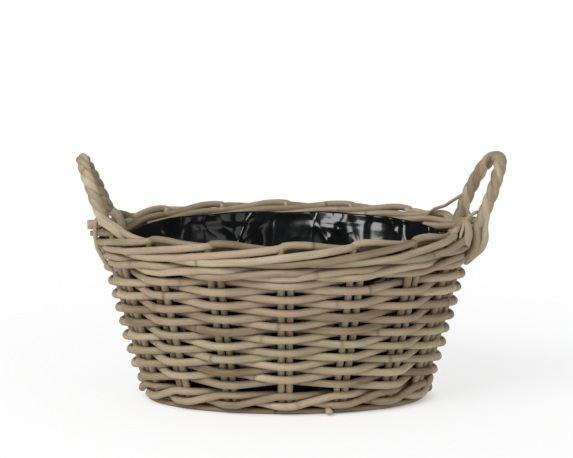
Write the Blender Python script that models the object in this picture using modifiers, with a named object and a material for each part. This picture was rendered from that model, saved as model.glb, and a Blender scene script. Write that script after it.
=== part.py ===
"""Oval rattan planter basket.

Sixteen bent rods cross in the base, rise up the wall as sixteen pairs of
stakes and turn down at the rim into the plaited border. Two weavers chase
each other up the wall, a wale of three rods locks the weave at the foot and
another below the border, and a roped handle stands on each end. A black
film lines the inside, its hem caught below the border.

Metres, Z up, X along the oval, the front faces -Y, the foot stands at zero.
"""
import math

import bmesh
import bpy
from mathutils import Vector

# counts
PAIRS = 16
QUARTER = PAIRS // 4
HALF = PAIRS // 2
TURNS_PER_WEAVER = 2
WEAVER_RODS = 4
WALE_RODS = 3
BASE_TURNS = 1
HANDLE_STRANDS = 3
HANDLE_TWISTS = 3
STEPS_PER_TWIST = 8
BEND_STEPS = 3
FILM_SIDES = 3 * PAIRS
ARCH_STEPS = 120
DEPTH_ROUNDS = 8

# rods
STAKE_DIA = 0.0064
WEAVER_DIA = 0.0067
FOOT_WALE_DIA = 0.0062
TOP_WALE_DIA = 0.0064
BASE_WEAVER_DIA = 0.0040
HANDLE_STRAND_DIA = 0.0070
TOUCH_GAP = 0.0003

# oval of the stakes at the foot and at the rim
FOOT_HALF_LENGTH = 0.1365
FOOT_HALF_WIDTH = 0.0755
RIM_HALF_LENGTH = 0.1775
RIM_HALF_WIDTH = 0.1245
STAKE_BEND_RADIUS = 0.0080
PAIR_SPACING_FOOT = 0.0076
PAIR_SPACING_RIM = 0.0100

# crossing of the bent rods in the base
CROSS_PITCH = 0.0370
CROSS_HALF_LENGTH = 0.0845
CROSS_HALF_WIDTH = 0.0240
GROUND_GAP = 0.0004
FOOT_CUT_DEPTH = 0.0004
WELD_GAP = 0.00001

# border
BORDER_POST_RISE = 0.0090
BORDER_POST_OUT = 0.0015
BORDER_BEND = 0.0030

# film liner
FILM_THICKNESS = 0.0008
HEM_WIDTH = 0.0028

# handles
HANDLE_FOOT_SPAN = 0.0560
HANDLE_RISE = 0.0605
HANDLE_LEG_OUTSIDE = 0.0300
HANDLE_LEG_INSIDE = 0.0150
RIGHT_FRONT_FOOT_OUT = 0.0280
FOOT_OUT = 0.0050
LEG_SLACK = 0.0007

# handle angles
LEFT_LEAN = math.radians(23)
RIGHT_LEAN = math.radians(17)

# shares; the first is half the width across the flats of a six-sided rod, in radii
FLAT_SHARE = math.cos(math.pi / 6)
FOOT_STEP_SHARE = 2.60
WALE_STEP_SHARE = 1.22
FOOT_TUCK_IN_SHARE = 0.09
FOOT_FLAT_SHARE = 0.16
FOOT_TUCK_UP_SHARE = 0.42
BASE_ROW_START_SHARE = 0.43
BASE_ROW_STEP_SHARE = 0.215
CROSS_DROP_SHARE = 0.40
REACH_DROP_SHARE = 1.08
LEG_OUT_SHARE = 0.89
STRAND_CENTRE_SHARE = 0.66
HANDLE_FULLNESS_SHARE = 1.1
LEFT_CURL_SHARE = 0.0
RIGHT_CURL_SHARE = 0.9

# border, in stake spacings along it: crest of the top reach, then its fall in rod
# steps and its shift in pair spacings; rise, middle and depth of the low reach
CREST_SHARE = 0.70
FALL_SHARES = ((1.0, 0.55, -1.0), (1.5, 1.2, 0.0), (2.0, 1.7, 0.0), (2.5, 2.2, 0.0))
LOW_RISE_SHARE = 0.45
LOW_MIDDLE_SHARE = 1.5
LOW_DEPTH_SHARE = 0.85

# strands at a foot: 0 goes inside the border, 1 outside it, 2 outside another strand
PLAIN_FOOT = (1, 0, 0)
RIGHT_FRONT_FOOT = (2, 0, 1)

STAKE_R = STAKE_DIA / 2
WEAVER_R = WEAVER_DIA / 2
FOOT_WALE_R = FOOT_WALE_DIA / 2
TOP_WALE_R = TOP_WALE_DIA / 2
BASE_WEAVER_R = BASE_WEAVER_DIA / 2
STRAND_R = HANDLE_STRAND_DIA / 2
UP = Vector((0, 0, 1))

# heights that the stack of rods gives
BASE_Z = GROUND_GAP + 2 * BASE_WEAVER_R + TOUCH_GAP + STAKE_R
CROSS_Z = BASE_Z + STAKE_DIA + TOUCH_GAP
BEND_Z = BASE_Z + STAKE_BEND_RADIUS
FOOT_LOW_Z = FOOT_WALE_R * FLAT_SHARE - FOOT_CUT_DEPTH
FOOT_HIGH_Z = FOOT_LOW_Z + FOOT_STEP_SHARE * (FOOT_WALE_DIA + TOUCH_GAP)
ROW_PITCH = WEAVER_DIA + TOUCH_GAP
FIRST_ROW_Z = FOOT_HIGH_Z + FOOT_WALE_R + TOUCH_GAP + WEAVER_R
ROWS = 2 * TURNS_PER_WEAVER * WEAVER_RODS
LAST_ROW_Z = FIRST_ROW_Z + (ROWS + 2 / PAIRS) * ROW_PITCH
TOP_LOW_Z = LAST_ROW_Z + WEAVER_R + TOUCH_GAP + TOP_WALE_R
TOP_HIGH_Z = TOP_LOW_Z + WALE_STEP_SHARE * (TOP_WALE_DIA + TOUCH_GAP)
WALE_TOP_Z = TOP_HIGH_Z + TOP_WALE_R
LOW_REACH_Z = WALE_TOP_Z + TOUCH_GAP + STAKE_R
POST_REACH_Z = LOW_REACH_Z + BORDER_POST_RISE
TOP_REACH_Z = POST_REACH_Z + STAKE_DIA + TOUCH_GAP
HANDLE_START_Z = TOP_REACH_Z + STAKE_R + TOUCH_GAP + STRAND_R + 2 * TOUCH_GAP


def oval(height):
    """Half length and half width of the stakes' oval at one height."""
    rise = min(1.0, (height - BEND_Z) / (LOW_REACH_Z - BEND_Z))
    half_length = FOOT_HALF_LENGTH + (RIM_HALF_LENGTH - FOOT_HALF_LENGTH) * rise
    half_width = FOOT_HALF_WIDTH + (RIM_HALF_WIDTH - FOOT_HALF_WIDTH) * rise
    return half_length, half_width


def station(index, height):
    """Place, direction along and direction out of the wall at a stake pair."""
    half_length, half_width = oval(height)
    turn = 2 * math.pi * index / PAIRS
    place = Vector((half_length * math.sin(turn), -half_width * math.cos(turn), height))
    along = Vector((half_length * math.cos(turn), half_width * math.sin(turn), 0)).normalized()
    return place, along, Vector((along.y, -along.x, 0))


def wall_point(index, height, along, out):
    """Point beside a stake pair, offset along and out of the wall."""
    place, along_dir, out_dir = station(index, height)
    return place + along_dir * along + out_dir * out


def lean(index):
    """How far the wall leans out for each unit of height."""
    low, _, out_dir = station(index, BEND_Z)
    high, _, _ = station(index, LOW_REACH_Z)
    return (high - low).dot(out_dir) / (LOW_REACH_Z - BEND_Z)


def slant(index):
    """Growth of a level offset on the leaning wall."""
    return math.sqrt(1 + lean(index) ** 2)


def pair_half(height):
    """Half of the spacing of the two rods in a pair."""
    rise = max(0.0, min(1.0, (height - BEND_Z) / (LOW_REACH_Z - BEND_Z)))
    return (PAIR_SPACING_FOOT + (PAIR_SPACING_RIM - PAIR_SPACING_FOOT) * rise) / 2


def tucked(index, height, neighbours, clear):
    """Depth behind a pair at which straight runs to both neighbours clear it."""
    place, along_dir, out_dir = station(index, height)
    half = pair_half(height)
    depth = clear
    for _ in range(DEPTH_ROUNDS):
        needed = clear
        for other in neighbours:
            run = abs((other - place).dot(along_dir))
            rate = (depth + (other - place).dot(out_dir)) / run
            rate = max(rate, 0.0)
            needed = max(needed, clear * math.sqrt(1 + rate * rate) + rate * half)
        depth = needed
    return depth


def rod(name, points, diameter, paint, collection):
    """Round rod along straight runs, with closed ends."""
    data = bpy.data.curves.new(name, "CURVE")
    data.dimensions = "3D"
    data.twist_mode = "Z_UP"
    data.bevel_mode = "ROUND"
    data.bevel_depth = diameter / 2
    data.bevel_resolution = 1
    data.use_fill_caps = True
    spline = data.splines.new("POLY")
    spline.points.add(len(points) - 1)
    for point, place in zip(spline.points, points):
        point.co = (place.x, place.y, place.z, 1)
    spline.use_smooth = True
    data.materials.append(paint)
    thing = bpy.data.objects.new(name, data)
    collection.objects.link(thing)
    return thing


def start():
    """Empty the scene and give the collection that holds the basket."""
    for old in list(bpy.data.objects):
        bpy.data.objects.remove(old, do_unlink=True)
    basket = bpy.data.collections.new("rattan_planter_basket")
    bpy.context.scene.collection.children.link(basket)
    return basket


def material(name, colour, roughness):
    """Plain material with one colour."""
    made = bpy.data.materials.new(name)
    made.use_nodes = True
    shader = made.node_tree.nodes["Principled BSDF"]
    shader.inputs["Base Color"].default_value = (*colour, 1)
    shader.inputs["Roughness"].default_value = roughness
    return made


def bend_centre(index, along):
    """Centre of the bend between base and wall for a rod beside a pair."""
    return wall_point(index, BEND_Z, along, -STAKE_BEND_RADIUS * slant(index))


def across_front_to_back(index):
    """True for the pairs that cross the base from front to back."""
    return (index % PAIRS) % HALF not in (QUARTER - 1, QUARTER, QUARTER + 1)


def cross_end(index, along):
    """Where a rod leaves the crossing in the base, on its way to a pair."""
    index = index % PAIRS
    foot = bend_centre(index, 0)
    if across_front_to_back(index):
        front = index < QUARTER or index > PAIRS - QUARTER
        column = (index + QUARTER) % PAIRS - QUARTER if front else HALF - index
        side = Vector((1, 0, 0)) if front else Vector((-1, 0, 0))
        corner = Vector((column * CROSS_PITCH, -CROSS_HALF_WIDTH * side.x, BASE_Z))
    else:
        right = index < HALF
        row = index - QUARTER if right else PAIRS - QUARTER - index
        side = Vector((0, 1, 0)) if right else Vector((0, -1, 0))
        corner = Vector((CROSS_HALF_LENGTH * side.y, 2 * row * PAIR_SPACING_FOOT, CROSS_Z))
    ahead = (foot - corner).to_2d().normalized()
    turned = Vector((-ahead.y, ahead.x, 0))
    return corner + (side + turned) / (1 + side.dot(turned)) * along


def base_run(index, along):
    """Points of a rod from the crossing to the top of its bend, one pair side."""
    points = [cross_end(index, along)]
    centre = bend_centre(index, along)
    _, _, out_dir = station(index, BEND_Z)
    foot = centre - UP * STAKE_BEND_RADIUS
    if not across_front_to_back(index):
        drop = points[0].lerp(foot, CROSS_DROP_SHARE)
        drop.z = BASE_Z
        points.append(drop)
    sweep = math.pi / 2 - math.atan(lean(index))
    for step in range(BEND_STEPS + 1):
        angle = sweep * step / BEND_STEPS
        reach = out_dir * math.sin(angle) - UP * math.cos(angle)
        points.append(centre + reach * STAKE_BEND_RADIUS)
    return points


def top_reach(index):
    """Border end that stands as a post and arches over to the next pair."""
    side = -pair_half(LOW_REACH_Z)
    fall = REACH_DROP_SHARE * (STAKE_DIA + TOUCH_GAP)
    post_top = TOP_REACH_Z - BORDER_BEND
    points = [
        wall_point(index, WALE_TOP_Z, -pair_half(WALE_TOP_Z), 0),
        wall_point(index, LOW_REACH_Z, side, BORDER_POST_OUT),
        wall_point(index, post_top, side, BORDER_POST_OUT),
        wall_point(index, TOP_REACH_Z, BORDER_BEND + side, BORDER_POST_OUT),
        wall_point(index + CREST_SHARE, TOP_REACH_Z, 0, 0),
    ]
    for ahead, drop, shift in FALL_SHARES:
        height = TOP_REACH_Z - fall * drop
        along = 2 * pair_half(LOW_REACH_Z) * shift
        points.append(wall_point(index + ahead, height, along, BORDER_POST_OUT - fall))
    return points


def low_reach(index):
    """Border end that slips out over the wale, passes the next post and stops at the one after."""
    side = pair_half(LOW_REACH_Z)
    apart = STAKE_DIA + TOUCH_GAP
    front = BORDER_POST_OUT + REACH_DROP_SHARE * apart
    return [
        wall_point(index, WALE_TOP_Z, pair_half(WALE_TOP_Z), 0),
        wall_point(index, LOW_REACH_Z, side + BORDER_BEND, 0),
        wall_point(index + LOW_RISE_SHARE, LOW_REACH_Z + TOUCH_GAP, 0, front * LOW_DEPTH_SHARE),
        wall_point(index + 1, POST_REACH_Z - STAKE_R, -side, front),
        wall_point(index + LOW_MIDDLE_SHARE, POST_REACH_Z, 0, front * LOW_DEPTH_SHARE),
        wall_point(index + 2, POST_REACH_Z, -side - apart, BORDER_POST_OUT + TOUCH_GAP),
    ]


def stake_rod(index, opposite, paint, basket):
    """One bent rod: border end, stake, base crossing, stake, border end."""
    up_one = base_run(index, -pair_half(BEND_Z))
    up_two = base_run(opposite, pair_half(BEND_Z))
    points = list(reversed(top_reach(index))) + list(reversed(up_one)) + up_two + low_reach(opposite)
    kind = "cross" if across_front_to_back(index) else "long"
    return rod(f"{kind}_stake_{index % PAIRS:02d}", points, STAKE_DIA, paint, basket)


def weaver(name, first, begin, zero, paint, basket):
    """Weaver that passes outside one pair and inside the next for two turns."""
    clear = STAKE_R + WEAVER_R + TOUCH_GAP
    last = begin + PAIRS * TURNS_PER_WEAVER
    points = []
    for count in range(begin, last + 1):
        height = FIRST_ROW_Z + 2 * ROW_PITCH * (count - zero) / PAIRS
        if (count - first) % 2:
            points.extend(outside_pass(count, height, clear))
            continue
        depth = inside_pass(count, height, clear)
        along = 0.0
        if count == begin:
            along = WEAVER_R
        if count == last:
            along = -WEAVER_R
        points.append(wall_point(count, height, along, -depth))
    return rod(name, points, WEAVER_DIA, paint, basket)


def outside_pass(index, height, clear):
    """Two points of a rod lying flat across the outside of a pair."""
    half = pair_half(height) + STAKE_R
    out = clear * slant(index)
    return [wall_point(index, height, -half, out), wall_point(index, height, half, out)]


def inside_pass(index, height, clear):
    """Depth of a rod behind a pair, on its way between the outsides of its neighbours."""
    before = outside_pass(index - 1, height, clear)[1]
    after = outside_pass(index + 1, height, clear)[0]
    return tucked(index, height, [before, after], clear * slant(index))


def between(index, height, out):
    """Point midway between two pairs, measured from the straight line that joins them."""
    one, _, out_one = station(index, height)
    two, _, out_two = station(index + 1, height)
    return (one + two) / 2 + (out_one + out_two).normalized() * out


def top_wale(name, first, paint, basket):
    """Wale rod below the border: outside two pairs, inside one."""
    clear = STAKE_R + TOP_WALE_R + TOUCH_GAP
    tuck_z = (TOP_LOW_Z + TOP_HIGH_Z) / 2
    last = first + PAIRS - 1
    points = []
    for count in range(first, last + 1):
        phase = (count - first) % WALE_RODS
        if phase == 0:
            if count > first:
                points.append(between(count - 1, TOP_HIGH_Z, 0))
            beside = [between(count - 1, tuck_z, 0), between(count, tuck_z, 0)]
            depth = tucked(count, tuck_z, beside, clear * slant(count))
            along = TOP_WALE_R if count == first else 0.0
            along = -TOP_WALE_R if count == last else along
            points.append(wall_point(count, tuck_z, along, -depth))
            if count < last:
                points.append(between(count, TOP_LOW_Z, 0))
        elif phase == 1:
            points.extend(outside_pass(count, TOP_LOW_Z, clear))
        else:
            points.extend(outside_pass(count, TOP_HIGH_Z, clear))
    return rod(name, points, TOP_WALE_DIA, paint, basket)


def foot_wale(name, first, paint, basket):
    """Wale rod round the foot: under the bend, up its outside, then inside."""
    clear = STAKE_R + FOOT_WALE_R + TOUCH_GAP
    reach = STAKE_BEND_RADIUS + clear
    under = math.sqrt(reach ** 2 - (BEND_Z - FOOT_LOW_Z) ** 2)
    half = pair_half(BEND_Z) + STAKE_R
    wide = half + FOOT_FLAT_SHARE * FOOT_WALE_DIA
    last = first + PAIRS - 1
    points = []
    for count in range(first, last + 1):
        phase = (count - first) % WALE_RODS
        _, along_dir, out_dir = station(count, BEND_Z)
        centre = bend_centre(count, 0)
        if phase == 0:
            inner = centre + (UP * FOOT_TUCK_UP_SHARE - out_dir * FOOT_TUCK_IN_SHARE) * FOOT_WALE_DIA
            if count > first:
                points.append(inner - along_dir * half)
            if count < last:
                points.append(inner + along_dir * half)
        elif phase == 1:
            low = centre + out_dir * under
            low.z = FOOT_LOW_Z
            points.extend([low - along_dir * wide, low + along_dir * wide])
        else:
            high = wall_point(count, FOOT_HIGH_Z, 0, clear * slant(count))
            points.extend([high - along_dir * wide, high + along_dir * wide])
    return rod(name, points, FOOT_WALE_DIA, paint, basket)


def base_weaver(name, begin, paint, basket):
    """Weaver of the base: over one pair and under the next, spiralling out."""
    clear = STAKE_R + BASE_WEAVER_R + TOUCH_GAP
    half = pair_half(BEND_Z) + STAKE_R
    last = begin + PAIRS * BASE_TURNS
    points = []
    for count in range(begin, last + 1):
        share = BASE_ROW_START_SHARE + 2 * BASE_ROW_STEP_SHARE * (count - begin) / PAIRS
        inner = (cross_end(count, half) + cross_end(count, -half)) / 2
        outer = bend_centre(count, 0)
        outer.z = BASE_Z
        ahead = outer - inner
        flat = Vector((ahead.x, ahead.y, 0))
        drop = max(0.0, 1 - share / CROSS_DROP_SHARE) * (inner.z - BASE_Z)
        rate = (inner.z - BASE_Z) / (flat.length * CROSS_DROP_SHARE) if drop else 0.0
        side = Vector((-flat.y, flat.x, 0)).normalized()
        middle = Vector((inner.x, inner.y, 0)).lerp(Vector((outer.x, outer.y, 0)), share)
        over = (count - begin) % 2 == 0
        offset = clear * math.sqrt(1 + rate * rate)
        middle.z = BASE_Z + drop + (offset if over else -offset)
        points.extend([middle - side * half, middle + side * half])
    return rod(name, points, BASE_WEAVER_DIA, paint, basket)


def film_depth(height):
    """Depth of the film's outer face behind the stakes at one height."""
    clear = STAKE_R + WEAVER_R + TOUCH_GAP
    deepest = clear
    for count in range(PAIRS):
        deepest = max(deepest, inside_pass(count, height, clear))
    return deepest + WEAVER_R + TOUCH_GAP


def film_liner(paint, basket):
    """Thin film cup with a hem that lies between the wale and the border."""
    bottom_z = BEND_Z + FOOT_TUCK_UP_SHARE * FOOT_WALE_DIA + FOOT_WALE_R + TOUCH_GAP
    hem_z = (TOP_LOW_Z + TOP_HIGH_Z) / 2 + TOP_WALE_R + TOUCH_GAP + FILM_THICKNESS
    low = -film_depth(FIRST_ROW_Z)
    high = -film_depth(LAST_ROW_Z)
    rings = []
    for height, out in ((bottom_z, low), (hem_z, high), (hem_z, high + HEM_WIDTH)):
        ring = [wall_point(PAIRS * step / FILM_SIDES, height, 0, out) for step in range(FILM_SIDES)]
        rings.append(ring)
    places = [place for ring in rings for place in ring]
    faces = [list(range(FILM_SIDES))]
    for row in range(len(rings) - 1):
        for step in range(FILM_SIDES):
            after = (step + 1) % FILM_SIDES
            low_row = row * FILM_SIDES
            high_row = low_row + FILM_SIDES
            faces.append([low_row + step, high_row + step, high_row + after, low_row + after])
    data = bpy.data.meshes.new("film_liner")
    data.from_pydata(places, [], faces)
    data.materials.append(paint)
    cup = bpy.data.objects.new("film_liner", data)
    basket.objects.link(cup)
    skin = cup.modifiers.new("film", "SOLIDIFY")
    skin.thickness = FILM_THICKNESS
    skin.offset = 1
    skin.use_even_offset = True
    return cup


def handle_axis(index, foot_outs, lean_angle, curl_share):
    """Evenly spaced places and frames along the full arch of one handle."""
    _, half_width = oval(TOP_REACH_Z)
    apart = math.asin(HANDLE_FOOT_SPAN / 2 / half_width) * PAIRS / (2 * math.pi)
    feet = [
        wall_point(index - apart, HANDLE_START_Z, 0, foot_outs[0]),
        wall_point(index + apart, HANDLE_START_Z, 0, foot_outs[1]),
    ]
    middle = (feet[0] + feet[1]) / 2
    reach = (feet[1] - feet[0]) / 2
    across = reach.normalized()
    outward = Vector((across.y, -across.x, 0))
    curve = []
    for step in range(ARCH_STEPS + 1):
        angle = math.pi * step / ARCH_STEPS
        up = math.sin(angle)
        wide = math.cos(angle) * (1 + HANDLE_FULLNESS_SHARE * up * up)
        out = up * (1 - curl_share + curl_share * up)
        rise = UP * math.cos(lean_angle) * up + outward * math.sin(lean_angle) * out
        curve.append(middle - reach * wide + rise * HANDLE_RISE)
    run = [0.0]
    for one, two in zip(curve, curve[1:]):
        run.append(run[-1] + (two - one).length)
    steps = HANDLE_TWISTS * STEPS_PER_TWIST
    tilted = outward * math.cos(lean_angle) - UP * math.sin(lean_angle)
    frames = []
    for step in range(steps + 1):
        wanted = run[-1] * step / steps
        spot = min(sum(1 for length in run if length < wanted), ARCH_STEPS)
        spot = max(spot, 1)
        share = (wanted - run[spot - 1]) / (run[spot] - run[spot - 1])
        place = curve[spot - 1].lerp(curve[spot], share)
        ahead = (curve[spot] - curve[spot - 1]).normalized()
        normal = (tilted - ahead * tilted.dot(ahead)).normalized()
        frames.append((place, normal, ahead.cross(normal)))
    return apart, frames


def strand_leg(index, start, layer, along):
    """Points that lead a strand of the rope down over the border, rope end first."""
    apart = STAKE_DIA + TOUCH_GAP
    place, _, out_dir = station(index, TOP_REACH_Z)
    if layer:
        out = (BORDER_POST_OUT + REACH_DROP_SHARE * apart) * LEG_OUT_SHARE + STAKE_R + TOUCH_GAP + STRAND_R
        out += (layer - 1) * (HANDLE_STRAND_DIA + TOUCH_GAP)
        points = [
            wall_point(index, LOW_REACH_Z, along, out),
            wall_point(index, TOP_REACH_Z - HANDLE_LEG_OUTSIDE, along, out),
        ]
        if (start - place).dot(out_dir) < out:
            points.insert(0, wall_point(index, TOP_REACH_Z + TOUCH_GAP, along, out))
        return points
    inside = BORDER_POST_OUT - REACH_DROP_SHARE * apart
    out = inside - STAKE_R - 2 * TOUCH_GAP - STRAND_R - LEG_SLACK
    over_z = TOP_REACH_Z + (STAKE_R + STRAND_R) * FLAT_SHARE + TOUCH_GAP
    points = []
    if (start - place).dot(out_dir) > BORDER_POST_OUT + STAKE_R:
        points.append(wall_point(index, over_z + TOUCH_GAP, along, BORDER_POST_OUT))
    points.append(wall_point(index, over_z - TOUCH_GAP, along, inside))
    points.append(wall_point(index, TOP_REACH_Z, along, out))
    points.append(wall_point(index, TOP_REACH_Z - HANDLE_LEG_INSIDE, along, out))
    return points


def handle(name, index, foot_outs, layers, lean_angle, curl_share, paint, basket):
    """Handle of three strands laid up as a rope, astride the border at each foot."""
    apart, frames = handle_axis(index, foot_outs, lean_angle, curl_share)
    centre = STRAND_CENTRE_SHARE * (HANDLE_STRAND_DIA + TOUCH_GAP)
    for number in range(HANDLE_STRANDS):
        first_turn = 2 * math.pi * number / HANDLE_STRANDS
        points = []
        for step, (place, normal, beside) in enumerate(frames):
            turn = first_turn + 2 * math.pi * step / STEPS_PER_TWIST
            points.append(place + (normal * math.cos(turn) + beside * math.sin(turn)) * centre)
        legs = []
        ends = ((points[0], index - apart), (points[-1], index + apart))
        for (end, foot_index), foot_layers in zip(ends, layers):
            place, along_dir, _ = station(foot_index, TOP_REACH_Z)
            along = (end - place).dot(along_dir)
            legs.append(strand_leg(foot_index, end, foot_layers[number], along))
        path = list(reversed(legs[0])) + points + legs[1]
        rod(f"{name}_strand_{number + 1}", path, HANDLE_STRAND_DIA, paint, basket)


def welded_mesh(thing, collection):
    """Mesh object of a rod, its end caps welded on, in place of its curve."""
    evaluated = thing.evaluated_get(bpy.context.evaluated_depsgraph_get())
    data = bpy.data.meshes.new_from_object(evaluated)
    shell = bmesh.new()
    shell.from_mesh(data)
    bmesh.ops.remove_doubles(shell, verts=shell.verts, dist=WELD_GAP)
    shell.to_mesh(data)
    shell.free()
    name = thing.name
    place = thing.matrix_world.copy()
    bpy.data.objects.remove(thing, do_unlink=True)
    solid = bpy.data.objects.new(name, data)
    solid.matrix_world = place
    collection.objects.link(solid)
    return solid


def ground_slab():
    """Slab below ground level that wears the foot flat."""
    data = bpy.data.meshes.new("ground_slab")
    shell = bmesh.new()
    bmesh.ops.create_cube(shell, size=1)
    size = Vector((2 * RIM_HALF_LENGTH, 2 * RIM_HALF_WIDTH, FOOT_WALE_DIA))
    bmesh.ops.scale(shell, vec=size, verts=shell.verts)
    bmesh.ops.translate(shell, vec=-UP * FOOT_WALE_DIA / 2, verts=shell.verts)
    shell.to_mesh(data)
    shell.free()
    slab = bpy.data.objects.new("ground_slab", data)
    slab.hide_render = True
    slab.display_type = "WIRE"
    cutters = bpy.data.collections.new("cutters")
    bpy.context.scene.collection.children.link(cutters)
    cutters.objects.link(slab)
    return slab


def worn_flat(thing, slab, basket):
    """Foot rod with a flat where it touches the ground."""
    solid = welded_mesh(thing, basket)
    cut = solid.modifiers.new("ground", "BOOLEAN")
    cut.operation = "DIFFERENCE"
    cut.solver = "EXACT"
    cut.object = slab
    return solid


def stand_on_origin(basket):
    """Hang every piece on one empty, and set it so that the whole is centred along X."""
    pieces = list(basket.objects)
    root = bpy.data.objects.new("basket_root", None)
    basket.objects.link(root)
    bpy.context.view_layer.update()
    reach = [corner[0] for piece in pieces for corner in piece.bound_box]
    for piece in pieces:
        piece.parent = root
    root.location.x = -(min(reach) + max(reach)) / 2


def build():
    basket = start()
    kubu = material("kubu_rattan", (0.36, 0.29, 0.20), 0.55)
    pale = material("pale_rattan", (0.44, 0.37, 0.27), 0.55)
    film = material("black_film", (0.010, 0.011, 0.012), 0.30)

    for index in range(-2, 3):
        stake_rod(index, HALF - index, kubu, basket)
        stake_rod(HALF - index, index, kubu, basket)
    for index in range(QUARTER - 1, QUARTER + 2):
        stake_rod(index, PAIRS - index, kubu, basket)
        stake_rod(PAIRS - index, index, kubu, basket)

    per_rod = PAIRS * TURNS_PER_WEAVER
    for number in range(WEAVER_RODS):
        weaver(f"weaver_a_{number + 1}", 1, 1 + number * per_rod, 0, kubu, basket)
        weaver(f"weaver_b_{number + 1}", HALF, HALF + number * per_rod, HALF, pale, basket)

    slab = ground_slab()
    for number in range(WALE_RODS):
        top_wale(f"top_wale_{number + 1}", HALF + number, pale, basket)
        worn_flat(foot_wale(f"foot_wale_{number + 1}", HALF + number, pale, basket), slab, basket)

    base_weaver("base_weaver_1", 1, kubu, basket)
    base_weaver("base_weaver_2", HALF, pale, basket)
    film_liner(film, basket)

    right_outs = (RIGHT_FRONT_FOOT_OUT, FOOT_OUT)
    right_layers = (RIGHT_FRONT_FOOT, PLAIN_FOOT)
    left_outs = (FOOT_OUT, FOOT_OUT)
    left_layers = (PLAIN_FOOT, PLAIN_FOOT)
    handle("right_handle", QUARTER, right_outs, right_layers, RIGHT_LEAN, RIGHT_CURL_SHARE, kubu, basket)
    handle("left_handle", PAIRS - QUARTER, left_outs, left_layers, LEFT_LEAN, LEFT_CURL_SHARE, kubu, basket)
    stand_on_origin(basket)


build()
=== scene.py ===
"""Oval rattan planter basket: the finish of every rod, the handles and the crumpled film liner."""
import math

import bpy
import numpy as np
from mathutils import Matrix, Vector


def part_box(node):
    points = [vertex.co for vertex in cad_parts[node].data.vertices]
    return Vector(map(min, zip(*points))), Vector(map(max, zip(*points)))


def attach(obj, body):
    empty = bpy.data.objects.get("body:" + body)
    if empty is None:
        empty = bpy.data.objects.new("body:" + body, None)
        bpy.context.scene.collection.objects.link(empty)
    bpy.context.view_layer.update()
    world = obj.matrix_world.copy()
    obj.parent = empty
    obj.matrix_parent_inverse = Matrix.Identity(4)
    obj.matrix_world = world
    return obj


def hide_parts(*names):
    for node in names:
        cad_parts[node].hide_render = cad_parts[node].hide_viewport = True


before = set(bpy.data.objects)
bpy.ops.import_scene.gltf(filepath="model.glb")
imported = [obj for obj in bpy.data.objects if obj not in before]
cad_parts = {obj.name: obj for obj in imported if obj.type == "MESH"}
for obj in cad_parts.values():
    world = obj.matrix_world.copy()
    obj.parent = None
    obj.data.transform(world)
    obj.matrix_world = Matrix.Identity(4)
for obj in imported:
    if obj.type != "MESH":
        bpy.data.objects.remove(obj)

bl_info = {
    "name": "Rattan planter basket",
    "version": (1, 0, 0),
    "blender": (4, 5, 0),
    "location": "View3D > Sidebar > Basket",
    "description": "Weaves an oval rattan planter basket round its film liner",
    "category": "Add Mesh",
}

TAU = 2 * math.pi
MM = 0.001
UP = np.array([0.0, 0.0, 1.0])
NEARLY_UPRIGHT = 0.9

# counts of stake pairs, rods, strands and turns
PAIRS = 16
QUARTER = PAIRS // 4
HALF = PAIRS // 2
TURNS_PER_WEAVER = 2
WEAVER_RODS = 4
WALE_RODS = 3
HANDLE_STRANDS = 3
HANDLE_TWISTS = 4

# fineness of the paths and meshes
DEPTH_ROUNDS = 8
BEND_STEPS = 3
STEPS_PER_TWIST = 12
ARCH_FINENESS = 8
FEWEST_STEPS = 8
CANE_SIDES = 12
ROUND_SIDES = 16
FILM_AROUND = 520
FILM_ROWS = 80
FILM_FLOOR_ROWS = 10

# rods as built, and the small gap that the solids keep
STAKE_DIA = 0.0064
WEAVER_DIA = 0.0067
FOOT_WALE_DIA = 0.0062
TOP_WALE_DIA = 0.0064
BASE_WEAVER_DIA = 0.0040
HANDLE_STRAND_DIA = 0.0070
TOUCH_GAP = 0.0003

# how far a weaver hangs below its row outside a pair, and lies above it inside
WEAVER_SAG = 0.0012

# lengths over which the rods round their bends
WEAVER_SOFT = 0.008
STAKE_SOFT = 0.005
HANDLE_SOFT = 0.006

# cane: how its path and radius drift, and its knots
WAVINESS = 0.0006
ASIDE_WAVE = 0.06
ACROSS_WAVE = 0.05
RADIUS_WAVE = 0.04
EASE_LENGTH = 0.03
KNOT_APART = 0.19
KNOT_SHIFT = 0.03
GROOVE_LENGTH = 0.0012
SWELL_LENGTH = 0.0045
NO_KNOT_DISTANCE = 1.0
RADIUS_DRIFT_SHARE = 0.055
SWELL_SHARE = 0.07
GROOVE_SHARE = 0.05
OBLONG_SHARE = 0.04
CUT_END_SHARES = (0.90, 0.975)

# oval of the stakes at the foot and at the rim
FOOT_HALF_LENGTH = 0.1395
FOOT_HALF_WIDTH = 0.0755
RIM_HALF_LENGTH = 0.1775
RIM_HALF_WIDTH = 0.1245

# pairs of stakes, their bends, the crossing in the base, and its foot worn flat on the ground
STAKE_BEND_RADIUS = 0.0080
PAIR_SPACING_FOOT = 0.0076
PAIR_SPACING_RIM = 0.0100
CROSS_PITCH = 0.0370
CROSS_HALF_LENGTH = 0.0845
CROSS_HALF_WIDTH = 0.0240
GROUND_GAP = 0.0004
FOOT_CUT_DEPTH = 0.0004

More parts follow.
